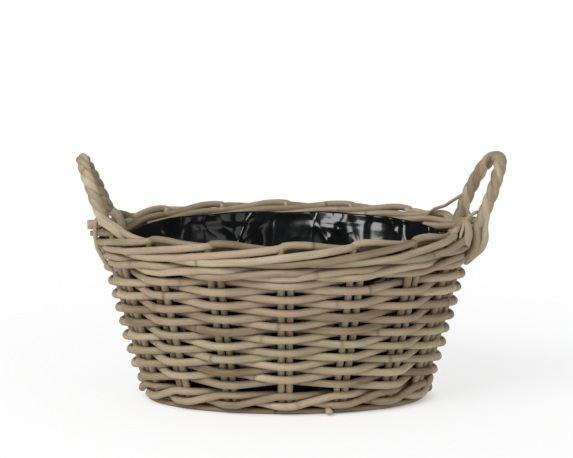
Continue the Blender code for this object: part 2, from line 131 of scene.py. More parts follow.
# film: its cut, its floor, its rim with a dip at each handle, and its folds as height, wave
# length, number of waves and sharpness
FILM_THICKNESS = 0.0003
FILM_FLOOR_Z = 0.0130
RIM_DROP = 0.0075
RIM_SWAY = 0.0020
RIM_SWAY_TURNS = (3, 5, 8, 13)
RIM_RETURN = 0.0015
HANDLE_DIP = 0.0150
HANDLE_DIP_PAIRS = 1.1
FOLD_DEPTH = 0.0010
FOLD_WAVES = (
    (0.0060, 0.110, 5, 1.0), (0.0080, 0.140, 5, 8.0), (0.0090, 0.080, 7, 16.0), (0.0008, 0.022, 4, 1.0))
FOLD_RISE_SHARE = 0.55
FOLD_BEND_SHARE = 0.22
FOLD_REACH_SHARE = 0.9
FLOOR_START_SHARE = 0.02
RIM_CALM_SHARE = 0.75

# border and handles
BORDER_POST_RISE = 0.0090
BORDER_POST_OUT = 0.0015
BORDER_BEND = 0.0030
HANDLE_FOOT_SPAN = 0.0560
HANDLE_RISE = 0.0605
RIGHT_FRONT_FOOT_OUT = 0.0200
FOOT_OUT = 0.0050
LEFT_LEAN = math.radians(22)
RIGHT_LEAN = math.radians(24)

# shares of the rods' thickness, of the base's reach and of the arches' height and width
FLAT_SHARE = math.cos(math.pi / 6)
FOOT_STEP_SHARE = 2.60
WALE_STEP_SHARE = 1.22
FOOT_TUCK_IN_SHARE = 0.09
FOOT_LEFT_SHARE = 1.10
FOOT_RIGHT_SHARE = -0.08
FOOT_TUCK_UP_SHARE = 0.42
BASE_ROW_START_SHARE = 0.43
BASE_ROW_STEP_SHARE = 0.215
CROSS_DROP_SHARE = 0.40
REACH_DROP_SHARE = 1.08
STRAND_CENTRE_SHARE = 0.37
LEFT_FULLNESS_SHARE = -0.20
RIGHT_FULLNESS_SHARE = 0.30
LEFT_CURL_SHARE = 0.0
RIGHT_CURL_SHARE = 0.3
RIGHT_RISE_SHARE = 1.045

# border in stake spacings along it: fall and depth of the bow in rod steps, then climb of the
# low reach from its start to the bow's height, and its place out from the stakes
BOW_SHARES = (
    (-0.05, 0.05, 0.06), (0.10, -0.08, 0.08), (0.28, -0.03, 0.12), (0.50, 0.30, 0.25), (0.75, 0.60, 0.60),
    (0.90, 0.73, 1.00), (1.10, 0.75, 1.10), (1.3, 0.77, 1.05), (1.5, 0.92, 1.05), (2.0, 1.45, 1.40),
    (2.5, 1.80, 1.35))
CLIMB_SHARES = (
    (0.35, -0.10, 0.20), (0.70, -0.12, 0.75), (1.0, -0.10, 0.90), (1.5, 0.06, 0.95), (2.0, 0.37, 0.93),
    (2.5, 0.64, 0.90), (2.86, 0.82, 0.55), (3.02, 0.88, -0.25))

# thickness of the shown rods beside the solid ones
STAKE_SHOWN_SHARE = 1.10
WEAVER_SHOWN_SHARE = 1.13
WALE_SHOWN_SHARE = 1.15
HANDLE_SHOWN_SHARE = 1.18

# half thickness of the rods
STAKE_R = STAKE_DIA / 2
WEAVER_R = WEAVER_DIA / 2
FOOT_WALE_R = FOOT_WALE_DIA / 2
TOP_WALE_R = TOP_WALE_DIA / 2
BASE_WEAVER_R = BASE_WEAVER_DIA / 2
STRAND_R = HANDLE_STRAND_DIA / 2

# heights that the stack of rods gives
BASE_Z = GROUND_GAP + 2 * BASE_WEAVER_R + TOUCH_GAP + STAKE_R
CROSS_Z = BASE_Z + STAKE_DIA + TOUCH_GAP
BEND_Z = BASE_Z + STAKE_BEND_RADIUS
FOOT_LOW_Z = FOOT_WALE_R * FLAT_SHARE - FOOT_CUT_DEPTH
FOOT_HIGH_Z = FOOT_LOW_Z + FOOT_STEP_SHARE * (FOOT_WALE_DIA + TOUCH_GAP)
FOOT_LEFT_Z = FOOT_LOW_Z + FOOT_WALE_DIA * FOOT_LEFT_SHARE
FOOT_RIGHT_Z = FOOT_HIGH_Z - FOOT_WALE_DIA * FOOT_RIGHT_SHARE
ROW_PITCH = WEAVER_DIA + TOUCH_GAP
FIRST_ROW_Z = FOOT_HIGH_Z + FOOT_WALE_R + TOUCH_GAP + WEAVER_R
ROWS = 2 * TURNS_PER_WEAVER * WEAVER_RODS
LAST_ROW_Z = FIRST_ROW_Z + (ROWS + 2 / PAIRS) * ROW_PITCH
TOP_LOW_Z = LAST_ROW_Z + WEAVER_R + TOUCH_GAP + TOP_WALE_R
TOP_HIGH_Z = TOP_LOW_Z + WALE_STEP_SHARE * (TOP_WALE_DIA + TOUCH_GAP)
WALE_TOP_Z = TOP_HIGH_Z + TOP_WALE_R
LOW_REACH_Z = WALE_TOP_Z + TOUCH_GAP + STAKE_R
POST_REACH_Z = LOW_REACH_Z + BORDER_POST_RISE
TOP_REACH_Z = POST_REACH_Z + STAKE_DIA + TOUCH_GAP
HANDLE_START_Z = TOP_REACH_Z + STAKE_R + TOUCH_GAP + STRAND_R + 2 * TOUCH_GAP

# ways of a strand over the border, as the share of its place along that it keeps, and the
# height, shift away from the handle and distance out of each point
LEG_WAYS = {
    "through": (1.2, (
        (HANDLE_START_Z, 0.0, 0.0030), (TOP_REACH_Z + STAKE_R, 0.0, -0.0040),
        (POST_REACH_Z, 0.0, -0.0075), (LOW_REACH_Z, 0.0, -0.0080))),
    "between": (1.0, (
        (HANDLE_START_Z, 0.0, 0.0040), (TOP_REACH_Z + STAKE_R, 0.0, 0.0010),
        (POST_REACH_Z, 0.0, -0.0020), (LOW_REACH_Z, 0.0, -0.0030))),
    "outside": (1.0, (
        (TOP_REACH_Z + STRAND_R, 0.0, 0.0105), (LOW_REACH_Z + STAKE_R, 0.0, 0.0140),
        (TOP_HIGH_Z, 0.0, 0.0115), (LAST_ROW_Z + WEAVER_R, 0.0, 0.0060))),
    "far": (0.5, (
        (POST_REACH_Z + STAKE_DIA, -0.0030, 0.0215), (LOW_REACH_Z + STAKE_DIA, -0.0020, 0.0228),
        (TOP_HIGH_Z + STAKE_R, -0.0010, 0.0205), (LAST_ROW_Z + WEAVER_R, 0.0, 0.0080))),
    "near": (0.5, (
        (TOP_REACH_Z + STAKE_R, 0.0010, 0.0150), (LOW_REACH_Z + STAKE_DIA, 0.0015, 0.0160),
        (TOP_HIGH_Z + STAKE_R, 0.0010, 0.0155), (LAST_ROW_Z + WEAVER_R, 0.0, 0.0080))),
    "over": (0.5, (
        (HANDLE_START_Z, 0.0050, 0.0080), (TOP_REACH_Z + STAKE_DIA, 0.0140, 0.0060),
        (TOP_REACH_Z + STAKE_R, 0.0260, 0.0015), (POST_REACH_Z, 0.0380, -0.0080))),
    "along": (0.5, (
        (HANDLE_START_Z - STAKE_R, 0.0040, 0.0010), (TOP_REACH_Z + STAKE_R, 0.0120, -0.0020),
        (TOP_REACH_Z, 0.0220, -0.0060), (POST_REACH_Z - STAKE_R, 0.0320, -0.0130))),
}

# way of each of the three strands at each foot
RIGHT_FRONT_FOOT = ("far", "through", "near")
RIGHT_BACK_FOOT = ("outside", "between", "between")
LEFT_FRONT_FOOT = ("over", "through", "along")
LEFT_BACK_FOOT = ("through", "along", "through")

# cut ends at the left and in the front of the foot, as pair, height, reach out, length and thickness
ROD_ENDS = (
    (12.12, POST_REACH_Z + STAKE_DIA, 0.0190, 0.0150, 0.0098),
    (12.10, LOW_REACH_Z + STAKE_DIA, 0.0165, 0.0130, 0.0055),
    (0.76, FOOT_WALE_R + STAKE_R / 2, 0.0165, 0.0100, 0.0066),
)

# ties at the handles' feet, as finish, thickness, and the pair, height and distance out of
# each point
TIES = (
    ("kubu", 0.0034, (
        (4.56, 0.2010, 0.0060), (4.72, 0.1940, -0.0010), (4.95, 0.1865, -0.0045), (5.25, 0.1815, -0.0060),
        (5.50, 0.1720, -0.0060))),
    ("kubu", 0.0030, (
        (3.46, 0.1930, 0.0150), (3.30, 0.1890, 0.0080), (3.14, 0.1825, 0.0070), (3.04, 0.1760, 0.0070),
        (3.00, 0.1690, 0.0060))),
    ("pale", 0.0092, (
        (3.29, 0.1785, 0.0005), (3.26, 0.1835, 0.0045), (3.20, 0.1815, 0.0090), (3.14, 0.1730, 0.0120),
        (3.07, 0.1630, 0.0105))),
    ("kubu", 0.0046, (
        (12.40, 0.1900, 0.0040), (12.40, 0.1826, 0.0115), (12.40, 0.1690, 0.0125),
        (12.42, 0.1550, 0.0120), (12.44, 0.1414, 0.0085), (12.46, 0.1320, 0.0030))),
)

# first random seed of each kind of piece
STAKE_SEED = 100
WEAVER_A_SEED = 200
WEAVER_B_SEED = 210
TOP_WALE_SEED = 300
FOOT_WALE_SEED = 310
BASE_WEAVER_SEED = 320
FOOT_RING_SEED = 330
LEFT_HANDLE_SEED = 440
RIGHT_HANDLE_SEED = 450
ROD_END_SEED = 500
TIE_SEED = 510
FILM_SEED = 7

# box of the solid liner, which has its middle where the basket's oval has it
LINER_LOW, LINER_HIGH = (np.array(corner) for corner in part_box("film_liner"))
MIDDLE_X = float(LINER_LOW[0] + LINER_HIGH[0]) / 2

# camera: one pixel is one millimetre at the target
IMAGE_WIDTH_PX = 573
IMAGE_HEIGHT_PX = 458
CAMERA_DISTANCE = 2.2
CAMERA_ELEVATION = math.radians(11.8)
CAMERA_TARGET_Z = 0.100
TARGET_PX = (285.5, 298.2)
SENSOR_WIDTH_MM = 36.0

# lamps, and the share of the room's light that glossy faces mirror
LAMP_TARGET = (0, 0, 0.1)
KEY_PLACE = (-1.3, -1.6, 2.1)
KEY_SIZE = 1.3
FILL_PLACE = (1.6, -2.3, 2.0)
FILL_SIZE = 1.4
GLOSS_SHARE = 0.06

# floor: how far out its shadow fades to white, and the ground under the basket that stays dark
FLOOR_REACH = 6.0
FADE_START = 0.22
FADE_END = 0.75
FADE_START_SHARE = 0.7
UNDER_START = 0.120
UNDER_END = 0.150
UNDER_ROUND_SHARE = 1.7

# colours, and how dull the paper is
OLIVE_CANE = (0.40, 0.36, 0.21)
SPECKS = (0.13, 0.085, 0.045)
KNOTS = (0.10, 0.06, 0.03)
CUT_ENDS = (0.50, 0.42, 0.31)
BLACK_FILM = (0.004, 0.0045, 0.005)
FILM_DUST = (0.010, 0.011, 0.012)
PAPER = (0.95, 0.95, 0.95)
PAPER_ROUGHNESS = 0.9
WHITE = (1, 1, 1)

# grain of a rod, as waves in a metre along it and across it, detail and roughness
FIBRES = ((18, 900, 900), 4.0, 0.6)
BLOTCHES = ((22, 120, 120), 3.0, 0.55)
DIRT = ((320, 900, 900), 2.0, 0.5)
SLOW_DRIFT = ((6, 30, 30), 1.0, 0.5)
GRAIN_SHIFT = 9

# lightness of a rod from its tone, blotches, slow drift and fibres, and the part taken off
TONE_SHARE = 0.42
BLOTCH_SHARE = 0.9
SLOW_SHARE = 0.9
FIBRE_SHARE = 0.45
DARKENED_SHARE = 0.93

# how much of the other colours covers a rod, and the hues and noise between which they set in
WARM_SHARE = 0.62
OLIVE_SHARE = 0.55
DIRT_SHARE = 0.5
KNOT_SHARE = 0.75
CUT_SHARE = 0.6
WARM_HUES = (0.45, 1.0)
OLIVE_HUES = (0.35, 0.0)
DIRT_RANGE = (0.60, 0.74)

# hues that aren't drawn at random, and the light colour of pale cane beside the other's
HANDLE_HUE = 0.3
CUT_END_HUE = 1.0
PALE_SHARE = 1.08

# relief and roughness of a rod
FIBRE_RISE_SHARE = 0.6
BLOTCH_RISE_SHARE = 0.4
KNOT_DROP_SHARE = 0.8
CANE_BUMP_SHARE = 0.35
CANE_RELIEF = 0.0004
CANE_ROUGHNESS = 0.42
FIBRE_ROUGHNESS = 0.22

# film: its dust as waves in a metre along each axis, detail and roughness, its creases as
# waves, detail, roughness, distortion, sharpness and height, and their relief
DUST = ((38, 38, 38), 5.0, 0.6)
DUST_RANGE = (0.45, 0.75)
CREASES = (
    ((11.0, 11.0, 4.95), 1.0, 0.5, 0.7, 30.0, 1.0), ((26.0, 26.0, 15.6), 1.0, 0.5, 0.7, 12.0, 0.20))
FILM_BUMP_SHARE = 0.9
FILM_RELIEF = 0.0016
FILM_ROUGHNESS = 0.14
DUST_ROUGHNESS = 0.16
FILM_IOR = 1.52


# paths of the rods

def unit(vectors):
    """Vectors drawn to length one."""
    return vectors / np.linalg.norm(vectors, axis=-1, keepdims=True)


def run_along(path):
    """Distance of each point of a path from its start, along it."""
    return np.concatenate([[0], np.cumsum(np.linalg.norm(np.diff(path, axis=0), axis=1))])


def evenly(path, steps):
    """The same path, read at equal steps along it."""
    run = run_along(path)
    wanted = np.linspace(0, run[-1], steps + 1)
    return np.stack([np.interp(wanted, run, path[:, axis]) for axis in range(3)], -1)


def oval(height):
    """Half length and half width of the stakes' oval, growing evenly with height."""
    rise = np.minimum(1.0, (height - BEND_Z) / (LOW_REACH_Z - BEND_Z))
    half_length = FOOT_HALF_LENGTH + (RIM_HALF_LENGTH - FOOT_HALF_LENGTH) * rise
    half_width = FOOT_HALF_WIDTH + (RIM_HALF_WIDTH - FOOT_HALF_WIDTH) * rise
    return half_length, half_width


def station(index, height):
    """Place, direction along and direction out of the wall: the oval's point at the pair's
    share of a turn, its tangent, and the tangent turned outwards."""
    index, height = np.broadcast_arrays(np.asarray(index, float), np.asarray(height, float))
    half_length, half_width = oval(height)
    turn = TAU * index / PAIRS
    level = np.zeros_like(height)
    place = np.stack([half_length * np.sin(turn), -half_width * np.cos(turn), height], -1)
    along = unit(np.stack([half_length * np.cos(turn), half_width * np.sin(turn), level], -1))
    out = np.stack([along[..., 1], -along[..., 0], level], -1)
    return place, along, out


def spot(index, height, along=0.0, out=0.0):
    """Points beside stake pairs: the oval's points moved along and out of the wall."""
    place, along_dir, out_dir = station(index, height)
    return place + along_dir * np.asarray(along)[..., None] + out_dir * np.asarray(out)[..., None]


def lean(index):
    """How far the wall leans out for each unit of height."""
    low, _, out_dir = station(index, BEND_Z)
    high, _, _ = station(index, LOW_REACH_Z)
    return ((high - low) * out_dir).sum(-1) / (LOW_REACH_Z - BEND_Z)


def slant(index):
    """Growth of a level offset on the leaning wall."""
    return np.sqrt(1 + lean(index) ** 2)


def pair_half(height):
    """Half of the spacing of the two rods in a pair."""
    rise = np.clip((height - BEND_Z) / (LOW_REACH_Z - BEND_Z), 0.0, 1.0)
    return (PAIR_SPACING_FOOT + (PAIR_SPACING_RIM - PAIR_SPACING_FOOT) * rise) / 2


def outside_pass(index, height, clear):
    """Two rows of points of a rod lying flat across the outside of its pairs."""
    half = pair_half(height) + STAKE_R
    out = clear * slant(index)
    return spot(index, height, -half, out), spot(index, height, half, out)


def tucked(index, height, neighbours, clear):
    """Depth behind a pair at which straight runs to both neighbours clear it: the depth is
    fed back into the runs' slopes a few times until it settles."""
    place, along_dir, out_dir = station(index, height)
    half = pair_half(height)
    depth = clear
    for _ in range(DEPTH_ROUNDS):
        needed = clear
        for other in neighbours:
            run = np.abs(((other - place) * along_dir).sum(-1))
            rate = np.maximum((depth + ((other - place) * out_dir).sum(-1)) / run, 0.0)
            needed = np.maximum(needed, clear * np.sqrt(1 + rate * rate) + rate * half)
        depth = needed
    return depth


def inside_pass(index, height, clear):
    """Depth of a rod behind a pair, on its way between the outsides of its neighbours."""
    before = outside_pass(index - 1, height, clear)[1]
    after = outside_pass(index + 1, height, clear)[0]
    return tucked(index, height, [before, after], clear * slant(index))


def between(index, height):
    """Point midway between two pairs."""
    return (spot(index, height) + spot(index + 1, height)) / 2


def bend_centre(index, along):
    """Centre of the bend between base and wall for a rod beside a pair."""
    return spot(index, BEND_Z, along, -STAKE_BEND_RADIUS * slant(index))


def across_front_to_back(index):
    """True for the pairs that cross the base from front to back."""
    return (index % PAIRS) % HALF not in (QUARTER - 1, QUARTER, QUARTER + 1)


def cross_end(index, along):
    """Where a rod leaves the crossing in the base, on its way to a pair: the corner, moved along
    the mitre of its two runs, so that both lie equally far beside those of the pair's middle."""
    index = index % PAIRS
    foot = bend_centre(index, 0)
    if across_front_to_back(index):
        front = index < QUARTER or index > PAIRS - QUARTER
        column = (index + QUARTER) % PAIRS - QUARTER if front else HALF - index
        way = 1 if front else -1
        side = np.array([way, 0, 0])
        corner = np.array([column * CROSS_PITCH, -CROSS_HALF_WIDTH * way, BASE_Z])
    else:
        right = index < HALF
        row = index - QUARTER if right else PAIRS - QUARTER - index
        way = 1 if right else -1
        side = np.array([0, way, 0])
        corner = np.array([CROSS_HALF_LENGTH * way, 2 * row * PAIR_SPACING_FOOT, CROSS_Z])
    ahead = unit((foot - corner)[:2])
    turned = np.array([-ahead[1], ahead[0], 0])
    return corner + (side + turned) / (1 + side @ turned) * along


def base_run(index, along):
    """Points of a rod from the crossing to the top of its bend, the bend an arc in the
    wall's upright plane."""
    points = [cross_end(index, along)]
    centre = bend_centre(index, along)
    _, _, out_dir = station(index, BEND_Z)
    if not across_front_to_back(index):
        foot = centre - UP * STAKE_BEND_RADIUS
        drop = points[0] + (foot - points[0]) * CROSS_DROP_SHARE
        drop[2] = BASE_Z
        points.append(drop)
    sweep = math.pi / 2 - math.atan(lean(index))
    for step in range(BEND_STEPS + 1):
        angle = sweep * step / BEND_STEPS
        reach = out_dir * math.sin(angle) - UP * math.cos(angle)
        points.append(centre + reach * STAKE_BEND_RADIUS)
    return points


def top_reach(index):
    """Border end that stands as a post, bows over to the next one and runs down inside."""
    side = -pair_half(LOW_REACH_Z)
    fall = REACH_DROP_SHARE * (STAKE_DIA + TOUCH_GAP)
    points = [
        spot(index, WALE_TOP_Z, -pair_half(WALE_TOP_Z), 0),
        spot(index, LOW_REACH_Z, side, BORDER_POST_OUT),
        spot(index, POST_REACH_Z + BORDER_BEND, side, BORDER_POST_OUT),
    ]
    for ahead, drop, depth in BOW_SHARES:
        points.append(spot(index + ahead, TOP_REACH_Z - fall * drop, 0, BORDER_POST_OUT - fall * depth))
    return points


def low_reach(index):
    """Border end that slips out over the wale, climbs past two posts and tucks in at the third."""
    side = pair_half(LOW_REACH_Z)
    front = BORDER_POST_OUT + REACH_DROP_SHARE * (STAKE_DIA + TOUCH_GAP)
    points = [
        spot(index, WALE_TOP_Z, pair_half(WALE_TOP_Z), 0),
        spot(index, LOW_REACH_Z, side + BORDER_BEND, 0),
    ]
    for ahead, climb, depth in CLIMB_SHARES:
        height = LOW_REACH_Z + (TOP_REACH_Z - LOW_REACH_Z) * climb
        points.append(spot(index + ahead, height, 0, front * depth))
    return points


def stake_path(index, opposite):
    """One bent rod: border end, stake, base crossing, stake, border end."""
    up_one = base_run(index, -pair_half(BEND_Z))
    up_two = base_run(opposite, pair_half(BEND_Z))
    return np.array(top_reach(index)[::-1] + up_one[::-1] + up_two + low_reach(opposite))


def weaver_path(first, begin, zero):
    """One length of a spiral weaver, from its begin on: it passes the first pair and every other
    one inside, tucked just deep enough, and lies flat outside the pairs between. It rises two
    rows in each turn, counted from the zero pair."""
    clear = STAKE_R + WEAVER_R + TOUCH_GAP
    count = np.arange(begin, begin + PAIRS * TURNS_PER_WEAVER + 1)
    height = FIRST_ROW_Z + 2 * ROW_PITCH * (count - zero) / PAIRS
    left, right = outside_pass(count, height - WEAVER_SAG, clear)
    shift = np.zeros(len(count))
    shift[0] = WEAVER_R
    shift[-1] = -WEAVER_R
    behind = spot(count, height + WEAVER_SAG, shift, -inside_pass(count, height, clear))
    outside = (count - first) % 2 == 1
    rows = np.where(outside[:, None, None], np.stack([left, right], 1), behind[:, None])
    keep = np.stack([np.ones(len(count), bool), outside], 1)
    return rows[keep]


def top_wale_path(first):
    """Wale rod below the border: outside two pairs, inside one."""
    clear = STAKE_R + TOP_WALE_R + TOUCH_GAP
    low_z, high_z = TOP_LOW_Z - WEAVER_SAG, TOP_HIGH_Z - 2 * WEAVER_SAG
    tuck_z = (low_z + high_z) / 2
    last = first + PAIRS - 1
    points = []
    for count in range(first, last + 1):
        phase = (count - first) % WALE_RODS
        if phase:
            points.extend(outside_pass(count, low_z if phase == 1 else high_z, clear))
            continue
        if count > first:
            points.append(between(count - 1, high_z))
        beside = [between(count - 1, tuck_z), between(count, tuck_z)]
        depth = tucked(count, tuck_z, beside, clear * slant(count))
        along = {first: TOP_WALE_R, last: -TOP_WALE_R}.get(count, 0.0)
        points.append(spot(count, tuck_z, along, -depth))
        if count < last:
            points.append(between(count, low_z))
    return np.array(points)


def bend_point(count, height):
    """Point of a foot rod outside a pair's bend: on the circle round the bend that clears it."""
    reach = STAKE_BEND_RADIUS + STAKE_R + FOOT_WALE_R + TOUCH_GAP
    _, _, out_dir = station(count, BEND_Z)
    middle = bend_centre(count, 0) + out_dir * math.sqrt(reach**2 - (BEND_Z - height) ** 2)
    middle[2] = height
    return middle


def foot_wale_path(first):
    """Wale rod round the foot: up across the outside of two pairs, then inside one."""
    half = pair_half(BEND_Z) + STAKE_R
    last = first + PAIRS - 1
    points = []
    for count in range(first, last + 1):
        phase = (count - first) % WALE_RODS
        _, along_dir, out_dir = station(count, BEND_Z)
        beside = along_dir * half
        if phase == 0:
            inner = bend_centre(count, 0) - out_dir * FOOT_TUCK_IN_SHARE * FOOT_WALE_DIA
            lift = UP * FOOT_TUCK_UP_SHARE * FOOT_WALE_DIA
            if count > first:
                points.append(inner - beside + lift)
            if count < last:
                points.append(inner + beside - lift)
            continue
        middle = bend_point(count, FOOT_LEFT_Z if phase == 1 else FOOT_RIGHT_Z)
        points.extend([middle - beside, middle + beside])
    return np.array(points)


def foot_ring_path():
    """Rod that lies on the ground outside the stakes' bends, once round."""
    return np.array([bend_point(HALF + step / 2, FOOT_LOW_Z) for step in range(2 * PAIRS + 1)])


def base_weaver_path(begin):
    """Weaver of the base: over one pair and under the next, spiralling out."""
    clear = STAKE_R + BASE_WEAVER_R + TOUCH_GAP
    half = pair_half(BEND_Z) + STAKE_R
    points = []
    for count in range(begin, begin + PAIRS + 1):
        share = BASE_ROW_START_SHARE + 2 * BASE_ROW_STEP_SHARE * (count - begin) / PAIRS
        inner = (cross_end(count, half) + cross_end(count, -half)) / 2
        outer = bend_centre(count, 0)
        outer[2] = BASE_Z
        flat = (outer - inner) * (1, 1, 0)
        run = np.linalg.norm(flat)
        drop = max(0.0, 1 - share / CROSS_DROP_SHARE) * (inner[2] - BASE_Z)
        rate = (inner[2] - BASE_Z) / (run * CROSS_DROP_SHARE) if drop else 0.0
        side = np.array([-flat[1], flat[0], 0]) / run
        offset = clear * math.sqrt(1 + rate * rate) * (1 if (count - begin) % 2 == 0 else -1)
        middle = inner + flat * share
        middle[2] = BASE_Z + drop + offset
        points.extend([middle - side * half, middle + side * half])
    return np.array(points)


def handle_frames(index, foot_outs, lean_angle, curl_share, fullness_share, arch_rise, steps):
    """Places and frames along a full arch: the reach between its feet times the cosine, widened
    by the square of the sine, and the rise times the sine. It leans by the lean's angle, and
    the curl puts off a share of its way outwards until the top."""
    _, half_width = oval(TOP_REACH_Z)
    apart = math.asin(HANDLE_FOOT_SPAN / 2 / half_width) * PAIRS / TAU
    feet = [spot(index + side * apart, HANDLE_START_Z, 0, out) for side, out in zip((-1, 1), foot_outs)]
    middle = (feet[0] + feet[1]) / 2
    reach = (feet[1] - feet[0]) / 2
    across = unit(reach)
    outward = np.array([across[1], -across[0], 0])
    angle = np.linspace(0, math.pi, ARCH_FINENESS * steps + 1)[:, None]
    up = np.sin(angle)
    wide = np.cos(angle) * (1 + fullness_share * up * up)
    out = up * (1 - curl_share + curl_share * up)
    rise = UP * math.cos(lean_angle) * up + outward * math.sin(lean_angle) * out
    place = evenly(middle - reach * wide + rise * arch_rise, steps)
    ahead = unit(np.gradient(place, axis=0))
    tilted = outward * math.cos(lean_angle) - UP * math.sin(lean_angle)
    normal = unit(tilted - ahead * (ahead @ tilted)[:, None])
    return apart, place, normal, np.cross(ahead, normal)


def strand_leg(index, kind, along, away):
    """Points that lead a strand of the rope down over the border, rope end first, along one of
    the named ways."""
    keep, way = LEG_WAYS[kind]
    return [spot(index, height, along * keep + away * aside, out) for height, aside, out in way]


def handle_paths(index, foot_outs, layers, *bearing):
    """Three strands laid up round the arch, each turned a third further, with their legs. The
    bearing is the arch's lean, curl, fullness and rise."""
    steps = HANDLE_TWISTS * STEPS_PER_TWIST
    apart, place, normal, beside = handle_frames(index, foot_outs, *bearing, steps)
    centre = STRAND_CENTRE_SHARE * (HANDLE_STRAND_DIA + TOUCH_GAP)
    paths = []
    for number in range(HANDLE_STRANDS):
        turn = TAU * (number / HANDLE_STRANDS - np.arange(steps + 1) / STEPS_PER_TWIST)[:, None]
        rope = place + (normal * np.cos(turn) + beside * np.sin(turn)) * centre
        legs = []
        ends = ((rope[0], index - apart, -1), (rope[-1], index + apart, 1))
        for (end, foot_index, away), foot_layers in zip(ends, layers):
            foot_place, along_dir, _ = station(foot_index, TOP_REACH_Z)
            along = (end - foot_place) @ along_dir
            legs.append(strand_leg(foot_index, foot_layers[number], along, away))
        paths.append(np.concatenate([np.array(legs[0][::-1]), rope, np.array(legs[1])]))
    return paths


# surfaces

def smooth(points, step, soft):
    """Springy path near the straight runs: they are read every step, then averaged twice over
    the soft length, with both ends carried on in line so that they stay where they are."""
    line = evenly(points, max(FEWEST_STEPS, int(run_along(points)[-1] / step)))
    wide = max(1, round(soft / step))
    tent = np.convolve(np.ones(wide), np.ones(wide)) / wide**2
    spare = np.arange(1, wide)[:, None]
    line = np.concatenate([
        line[0] + (line[0] - line[1]) * spare[::-1], line, line[-1] + (line[-1] - line[-2]) * spare])
    return np.stack([np.convolve(line[:, axis], tent, "valid") for axis in range(3)], -1)


def drift(rng, length, wave, count):
    """Smooth random curve: a cosine blend between random values one wave apart."""
    knots = rng.uniform(-1, 1, int(length / wave) + 3)
    where = np.linspace(0, length / wave, count)
    low = where.astype(int)
    part = (1 - np.cos(math.pi * (where - low))) / 2
    return knots[low] * (1 - part) + knots[low + 1] * part


def carried_frames(path):
    """Directions aside and across along a path, the one aside carried from ring to ring by two
    reflections so that it doesn't turn about the path."""
    ahead = unit(np.gradient(path, axis=0))
    aside = np.empty_like(path)
    level = abs(ahead[0, 2]) < NEARLY_UPRIGHT
    aside[0] = unit(np.cross(ahead[0], UP if level else np.array([1.0, 0, 0])))
    for ring in range(len(path) - 1):
        step = path[ring + 1] - path[ring]
        size = step @ step
        side = aside[ring] - step * (2 / size * (step @ aside[ring]))
        front = ahead[ring] - step * (2 / size * (step @ ahead[ring]))
        turn = ahead[ring + 1] - front
        size = turn @ turn
        aside[ring + 1] = side - turn * (2 / size * (turn @ side)) if size > 0 else side
    return aside, np.cross(ahead, aside)


def linked(name, data):
    """New object of the data, in the scene."""
    thing = bpy.data.objects.new(name, data)
    bpy.context.scene.collection.objects.link(thing)
    return thing


def mesh_piece(name, places, faces, paint, **attributes):
    """Object at the origin from an array of places, the faces between them, and attributes of
    one or three values for each place."""
    data = bpy.data.meshes.new(name)
    data.from_pydata(places, [], faces)
    for title, values in attributes.items():
        kind, field = ("FLOAT_VECTOR", "vector") if values.ndim == 2 else ("FLOAT", "value")
        layer = data.attributes.new(title, kind, "POINT")
        layer.data.foreach_set(field, np.ascontiguousarray(values, np.float32).ravel())
    data.shade_smooth()
    data.materials.append(paint)
    return linked(name, data)


def grid_faces(rings, sides):
    """Faces of a closed-round grid, ring by ring, wound to point outwards."""
    ring, side = np.meshgrid(np.arange(rings - 1), np.arange(sides), indexing="ij")
    after = (side + 1) % sides
    low, high = ring * sides, (ring + 1) * sides
    return np.stack([low + side, low + after, high + after, high + side], -1).reshape(-1, 4)


